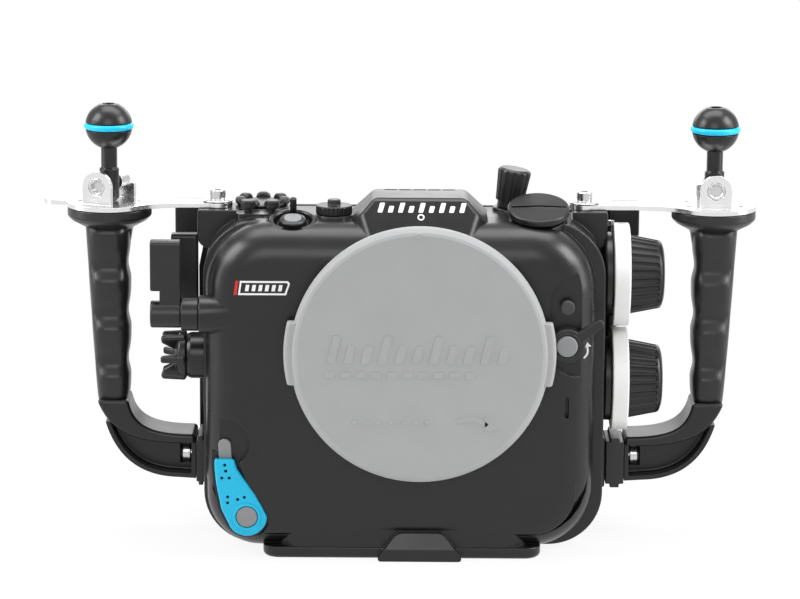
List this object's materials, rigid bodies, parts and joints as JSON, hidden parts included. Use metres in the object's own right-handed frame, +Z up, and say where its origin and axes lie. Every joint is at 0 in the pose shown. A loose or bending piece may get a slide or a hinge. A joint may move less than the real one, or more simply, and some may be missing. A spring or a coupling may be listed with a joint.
{
  "type": "underwater camera housing",
  "caption": "Cast underwater camera housing with a capped port, hinged back, side handles, ball mounts, levers, knobs and dials that turn or press.",
  "frame": {"origin": "underside of the foot, midway between the two handles and in their plane", "axes": "+X to the right as seen from the front, -Y towards the port cap and the viewer, +Z up"},
  "size_m": [0.3855, 0.1373, 0.2371],
  "materials": {
    "shell": "anodised black, satin",
    "moulded_black": "moulded, satin",
    "grip_rubber": "moulded rubber, fine grain",
    "seal_rubber": "smooth rubber",
    "cap_grey": "moulded, matt",
    "button_grey": "moulded, satin",
    "latch_blue": "moulded, satin",
    "ring_blue": "smooth rubber",
    "ring_white": "moulded, gloss",
    "steel": "polished stainless",
    "tray_metal": "anodised",
    "window": "clear acrylic",
    "board": "coated circuit board"
  },
  "bodies": {
    "housing": {"front_shell": "shell", "main_seal": "ring_blue", "hinge_pin": "steel", "port_bayonet_ring": "shell", "upper_knob_bearing": "shell", "lower_knob_bearing": "shell", "shutter_lever_bush": "shell", "side_dial_boss": "shell", "left_stay": "steel", "right_stay": "steel", "left_stay_screw": "steel", "right_stay_screw": "steel", "left_grip": "grip_rubber", "right_grip": "grip_rubber", "left_handle_arm": "shell", "right_handle_arm": "shell", "left_arm_pad": "grip_rubber", "right_arm_pad": "grip_rubber", "left_arm_bolt": "steel", "right_arm_bolt": "steel", "left_stem_bolt": "steel", "right_stem_bolt": "steel", "bulkhead_plug": "shell", "camera_tray": "tray_metal", "moisture_board": "board", "battery_case": "moulded_black"},
    "left_ball": {"left_ball_stem": "shell", "left_ball_ring": "ring_blue"},
    "right_ball": {"right_ball_stem": "shell", "right_ball_ring": "ring_blue"},
    "cap": {"port_cap": "cap_grey", "port_cap_seal": "seal_rubber"},
    "lock_lever": {"port_lock_lever": "moulded_black"},
    "lock_button": {"port_lock_button": "button_grey"},
    "release_button": {"lens_release_button": "button_grey"},
    "latch": {"latch_lever": "latch_blue", "latch_shaft": "button_grey"},
    "latch_safety": {"latch_safety_button": "button_grey"},
    "door": {"rear_shell": "shell", "monitor_window": "window"},
    "rear_button_low": {"rear_button_lower": "moulded_black"},
    "rear_button_mid": {"rear_button_middle": "moulded_black"},
    "rear_button_high": {"rear_button_upper": "moulded_black"},
    "rear_wheel": {"rear_dial": "moulded_black"},
    "left_thumb": {"left_thumb_lever": "moulded_black"},
    "right_thumb": {"right_thumb_lever": "moulded_black"},
    "upper_knob": {"upper_side_knob": "moulded_black", "upper_knob_ring": "ring_white"},
    "lower_knob": {"lower_side_knob": "moulded_black", "lower_knob_ring": "ring_white"},
    "shutter": {"shutter_lever": "moulded_black"},
    "record": {"record_lever": "moulded_black"},
    "side_dial": {"side_lobed_dial": "moulded_black"},
    "modes": {"mode_dial": "moulded_black"},
    "top_wheel": {"top_dial": "moulded_black"},
    "left_post": {"left_post_button": "moulded_black"},
    "right_post": {"right_post_button": "moulded_black"},
    "record_press": {"record_button": "moulded_black"},
    "zoom": {"zoom_ring": "moulded_black"},
    "knob_on_top": {"ribbed_knob": "moulded_black"}
  },
  "joints": [
    {"name": "left_ball_tilt", "type": "hinge", "parent": "housing", "child": "left_ball", "pos_m": [-0.1635, 0, 0.1938], "axis": [0.3907, 0.9205, 0], "range_deg": [-75, 75]},
    {"name": "right_ball_tilt", "type": "hinge", "parent": "housing", "child": "right_ball", "pos_m": [0.163, 0, 0.1938], "axis": [0, 1, 0], "range_deg": [-75, 75]},
    {"name": "door_hinge", "type": "hinge", "parent": "housing", "child": "door", "pos_m": [0.1095, 0.03025, 0.1205], "axis": [0, 0, -1], "range_deg": [0, 95]},
    {"name": "latch_turn", "type": "hinge", "parent": "housing", "child": "latch", "pos_m": [-0.0874, -0.055, 0.0236], "axis": [0, -1, 0], "range_deg": [0, 90]},
    {"name": "latch_safety_slide", "type": "slide", "parent": "latch", "child": "latch_safety", "axis": [0.3502, 0, -0.9367], "range_m": [0, 0.003], "stiffness_N_per_m": 300, "springref_m": -0.001},
    {"name": "cap_twist", "type": "hinge", "parent": "housing", "child": "cap", "pos_m": [0.0044, -0.0648, 0.115], "axis": [0, -1, 0], "range_deg": [0, 25]},
    {"name": "port_lock_turn", "type": "hinge", "parent": "housing", "child": "lock_lever", "pos_m": [0.0822, -0.056, 0.1185], "axis": [0, 1, 0], "range_deg": [0, 45]},
    {"name": "port_lock_press", "type": "slide", "parent": "lock_lever", "child": "lock_button", "axis": [0, 1, 0], "range_m": [0, 0.002], "stiffness_N_per_m": 300, "springref_m": -0.001},
    {"name": "lens_release_press", "type": "slide", "parent": "housing", "child": "release_button", "axis": [0, 1, 0], "range_m": [0, 0.002], "stiffness_N_per_m": 300, "springref_m": -0.001},
    {"name": "rear_button_lower_press", "type": "slide", "parent": "door", "child": "rear_button_low", "axis": [0, -1, 0], "range_m": [0, 0.002], "stiffness_N_per_m": 300, "springref_m": -0.001},
    {"name": "rear_button_middle_press", "type": "slide", "parent": "door", "child": "rear_button_mid", "axis": [0, -1, 0], "range_m": [0, 0.002], "stiffness_N_per_m": 300, "springref_m": -0.001},
    {"name": "rear_button_upper_press", "type": "slide", "parent": "door", "child": "rear_button_high", "axis": [0, -1, 0], "range_m": [0, 0.002], "stiffness_N_per_m": 300, "springref_m": -0.001},
    {"name": "rear_dial_spin", "type": "hinge", "parent": "door", "child": "rear_wheel", "pos_m": [-0.076, 0.063, 0.0655], "axis": [0, 1, 0], "continuous": true},
    {"name": "left_thumb_press", "type": "hinge", "parent": "door", "child": "left_thumb", "pos_m": [-0.104, 0.061, 0.1565], "axis": [0, -1, 0], "range_deg": [0, 8], "stiffness_Nm_per_rad": 0.4, "springref_deg": -5.73},
    {"name": "right_thumb_press", "type": "hinge", "parent": "door", "child": "right_thumb", "pos_m": [0.092, 0.061, 0.1565], "axis": [0, 1, 0], "range_deg": [0, 8], "stiffness_Nm_per_rad": 0.4, "springref_deg": -5.73},
    {"name": "upper_knob_spin", "type": "hinge", "parent": "housing", "child": "upper_knob", "pos_m": [0.11, -0.005, 0.1464], "axis": [1, 0, 0], "continuous": true},
    {"name": "lower_knob_spin", "type": "hinge", "parent": "housing", "child": "lower_knob", "pos_m": [0.11, -0.005, 0.0886], "axis": [1, 0, 0], "continuous": true},
    {"name": "shutter_press", "type": "hinge", "parent": "housing", "child": "shutter", "pos_m": [-0.13, -0.0455, 0.1315], "axis": [-1, 0, 0], "range_deg": [0, 12], "stiffness_Nm_per_rad": 0.4, "springref_deg": -5.73},
    {"name": "record_lever_press", "type": "hinge", "parent": "housing", "child": "record", "pos_m": [-0.12, 0.003, 0.122], "axis": [-1, 0, 0], "range_deg": [0, 12], "stiffness_Nm_per_rad": 0.4, "springref_deg": -5.73},
    {"name": "side_dial_spin", "type": "hinge", "parent": "housing", "child": "side_dial", "pos_m": [-0.125, -0.02, 0.1035], "axis": [1, 0, 0], "continuous": true},
    {"name": "mode_dial_spin", "type": "hinge", "parent": "housing", "child": "modes", "pos_m": [-0.081, 0.006, 0.1815], "axis": [0, 0, 1], "continuous": true},
    {"name": "top_dial_spin", "type": "hinge", "parent": "housing", "child": "top_wheel", "pos_m": [-0.0418, -0.02, 0.1815], "axis": [0, 0, 1], "continuous": true},
    {"name": "left_post_press", "type": "slide", "parent": "housing", "child": "left_post", "axis": [0, 0, -1], "range_m": [0, 0.002], "stiffness_N_per_m": 300, "springref_m": -0.001},
    {"name": "right_post_press", "type": "slide", "parent": "housing", "child": "right_post", "axis": [0, 0, -1], "range_m": [0, 0.002], "stiffness_N_per_m": 300, "springref_m": -0.001},
    {"name": "record_button_press", "type": "slide", "parent": "housing", "child": "record_press", "axis": [0, 0.2756, -0.9613], "range_m": [0, 0.002], "stiffness_N_per_m": 300, "springref_m": -0.001},
    {"name": "zoom_ring_turn", "type": "hinge", "parent": "housing", "child": "zoom", "pos_m": [-0.0635, -0.033, 0.177], "axis": [0, -0.2756, 0.9613], "range_deg": [-20, 20]},
    {"name": "ribbed_knob_spin", "type": "hinge", "parent": "housing", "child": "knob_on_top", "pos_m": [0.052, 0, 0.1815], "axis": [0.1564, 0, 0.9877], "continuous": true}
  ]
}
